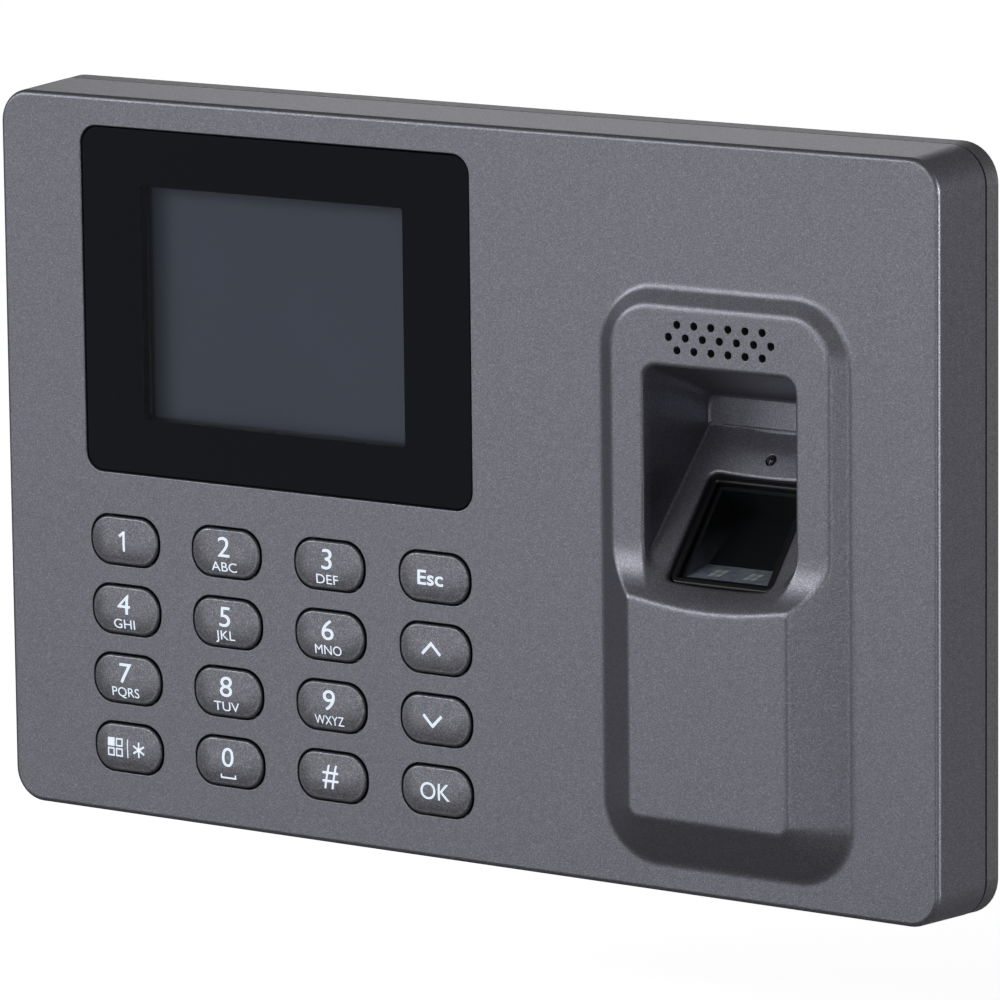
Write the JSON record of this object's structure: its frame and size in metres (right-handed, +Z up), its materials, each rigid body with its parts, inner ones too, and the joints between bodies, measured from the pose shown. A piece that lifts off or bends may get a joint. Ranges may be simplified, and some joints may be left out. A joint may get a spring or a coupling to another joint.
{
  "type": "fingerprint scanner terminal",
  "caption": "Wall-mounted fingerprint time terminal with colour display, keypad and a raised optical finger scanner, on a hook-on wall bracket.",
  "frame": {"origin": "centre of the four wall screw holes, on the face of the bracket that meets the wall", "axes": "+X to the right as a person faces the terminal, +Y into the wall, +Z up"},
  "size_m": [0.1742, 0.0357, 0.1154],
  "materials": {
    "bracket_steel": "zinc-plated sheet steel",
    "cover_paint": "moulded plastic under fine metallic grey paint",
    "rear_plastic": "moulded plastic, dark metallic grey",
    "seal_rubber": "black foam rubber",
    "screw_steel": "zinc-plated steel",
    "lens_glass": "clear sheet with a black printed border",
    "tape": "black double-sided tape",
    "lcd_glass": "display glass, switched off",
    "lcd_steel": "thin pressed steel",
    "light_guide": "white diffuser",
    "ribbon": "flat flexible cable",
    "mat_rubber": "dark grey silicone rubber",
    "dome_steel": "snap domes",
    "board": "glass-fibre circuit board",
    "chip_black": "moulded black plastic",
    "sensor_black": "black moulded plastic",
    "gasket_rubber": "black rubber",
    "prism_glass": "optical glass",
    "light_white": "white light sources",
    "led_dark": "dark clear plastic",
    "speaker_black": "speaker body",
    "mesh_cloth": "fine black dust cloth",
    "socket_steel": "nickel-plated steel shell",
    "jack_black": "black moulded plastic",
    "insert_brass": "knurled brass",
    "cell_steel": "coin cell can",
    "plunger_white": "white moulded plastic",
    "key_paint": "moulded plastic under dark metallic paint"
  },
  "bodies": {
    "bracket": {"wall_bracket": "bracket_steel"},
    "terminal": {"front_cover": "cover_paint", "rear_cover": "rear_plastic", "cover_seal": "seal_rubber", "cover_screws": "screw_steel", "display_lens": "lens_glass", "lens_tape": "tape", "lcd_glass": "lcd_glass", "lcd_frame": "lcd_steel", "lcd_backlight": "light_guide", "lcd_ribbon": "ribbon", "keypad_mat": "mat_rubber", "key_domes": "dome_steel", "key_board": "board", "key_board_screws": "screw_steel", "main_board": "board", "main_chips": "chip_black", "board_screws": "screw_steel", "board_link": "ribbon", "sensor_housing": "sensor_black", "sensor_gasket": "gasket_rubber", "sensor_prism": "prism_glass", "sensor_lights": "light_white", "sensor_lens": "sensor_black", "sensor_board": "board", "sensor_screws": "screw_steel", "sensor_cable": "ribbon", "proximity_led": "led_dark", "speaker": "speaker_black", "speaker_seal": "seal_rubber", "speaker_mesh": "mesh_cloth", "usb_socket": "socket_steel", "power_jack": "jack_black", "lock_insert": "insert_brass", "backup_cell": "cell_steel", "cell_holder": "chip_black", "tamper_switch": "chip_black", "reset_switch": "chip_black"},
    "key_1": {"key_1": "key_paint"},
    "key_2": {"key_2": "key_paint"},
    "key_3": {"key_3": "key_paint"},
    "key_esc": {"key_esc": "key_paint"},
    "key_4": {"key_4": "key_paint"},
    "key_5": {"key_5": "key_paint"},
    "key_6": {"key_6": "key_paint"},
    "key_up": {"key_up": "key_paint"},
    "key_7": {"key_7": "key_paint"},
    "key_8": {"key_8": "key_paint"},
    "key_9": {"key_9": "key_paint"},
    "key_down": {"key_down": "key_paint"},
    "key_menu": {"key_menu": "key_paint"},
    "key_0": {"key_0": "key_paint"},
    "key_hash": {"key_hash": "key_paint"},
    "key_ok": {"key_ok": "key_paint"},
    "tamper_plunger": {"tamper_plunger": "plunger_white"},
    "reset_button": {"reset_button": "plunger_white"}
  },
  "joints": [
    {"name": "lift_off", "type": "slide", "parent": "bracket", "child": "terminal", "axis": [0, 0, 1], "range_m": [0, 0.006]},
    {"name": "key_1_press", "type": "slide", "parent": "terminal", "child": "key_1", "axis": [0, 1, 0], "range_m": [0, 0.0006], "stiffness_N_per_m": 900, "springref_m": -0.0001},
    {"name": "key_2_press", "type": "slide", "parent": "terminal", "child": "key_2", "axis": [0, 1, 0], "range_m": [0, 0.0006], "stiffness_N_per_m": 900, "springref_m": -0.0001},
    {"name": "key_3_press", "type": "slide", "parent": "terminal", "child": "key_3", "axis": [0, 1, 0], "range_m": [0, 0.0006], "stiffness_N_per_m": 900, "springref_m": -0.0001},
    {"name": "key_esc_press", "type": "slide", "parent": "terminal", "child": "key_esc", "axis": [0, 1, 0], "range_m": [0, 0.0006], "stiffness_N_per_m": 900, "springref_m": -0.0001},
    {"name": "key_4_press", "type": "slide", "parent": "terminal", "child": "key_4", "axis": [0, 1, 0], "range_m": [0, 0.0006], "stiffness_N_per_m": 900, "springref_m": -0.0001},
    {"name": "key_5_press", "type": "slide", "parent": "terminal", "child": "key_5", "axis": [0, 1, 0], "range_m": [0, 0.0006], "stiffness_N_per_m": 900, "springref_m": -0.0001},
    {"name": "key_6_press", "type": "slide", "parent": "terminal", "child": "key_6", "axis": [0, 1, 0], "range_m": [0, 0.0006], "stiffness_N_per_m": 900, "springref_m": -0.0001},
    {"name": "key_up_press", "type": "slide", "parent": "terminal", "child": "key_up", "axis": [0, 1, 0], "range_m": [0, 0.0006], "stiffness_N_per_m": 900, "springref_m": -0.0001},
    {"name": "key_7_press", "type": "slide", "parent": "terminal", "child": "key_7", "axis": [0, 1, 0], "range_m": [0, 0.0006], "stiffness_N_per_m": 900, "springref_m": -0.0001},
    {"name": "key_8_press", "type": "slide", "parent": "terminal", "child": "key_8", "axis": [0, 1, 0], "range_m": [0, 0.0006], "stiffness_N_per_m": 900, "springref_m": -0.0001},
    {"name": "key_9_press", "type": "slide", "parent": "terminal", "child": "key_9", "axis": [0, 1, 0], "range_m": [0, 0.0006], "stiffness_N_per_m": 900, "springref_m": -0.0001},
    {"name": "key_down_press", "type": "slide", "parent": "terminal", "child": "key_down", "axis": [0, 1, 0], "range_m": [0, 0.0006], "stiffness_N_per_m": 900, "springref_m": -0.0001},
    {"name": "key_menu_press", "type": "slide", "parent": "terminal", "child": "key_menu", "axis": [0, 1, 0], "range_m": [0, 0.0006], "stiffness_N_per_m": 900, "springref_m": -0.0001},
    {"name": "key_0_press", "type": "slide", "parent": "terminal", "child": "key_0", "axis": [0, 1, 0], "range_m": [0, 0.0006], "stiffness_N_per_m": 900, "springref_m": -0.0001},
    {"name": "key_hash_press", "type": "slide", "parent": "terminal", "child": "key_hash", "axis": [0, 1, 0], "range_m": [0, 0.0006], "stiffness_N_per_m": 900, "springref_m": -0.0001},
    {"name": "key_ok_press", "type": "slide", "parent": "terminal", "child": "key_ok", "axis": [0, 1, 0], "range_m": [0, 0.0006], "stiffness_N_per_m": 900, "springref_m": -0.0001},
    {"name": "tamper_press", "type": "slide", "parent": "terminal", "child": "tamper_plunger", "axis": [0, -1, 0], "range_m": [0, 0.0012], "stiffness_N_per_m": 400, "springref_m": -0.0001},
    {"name": "reset_press", "type": "slide", "parent": "terminal", "child": "reset_button", "axis": [0, 0, 1], "range_m": [0, 0.0006], "stiffness_N_per_m": 500, "springref_m": -0.0001}
  ]
}
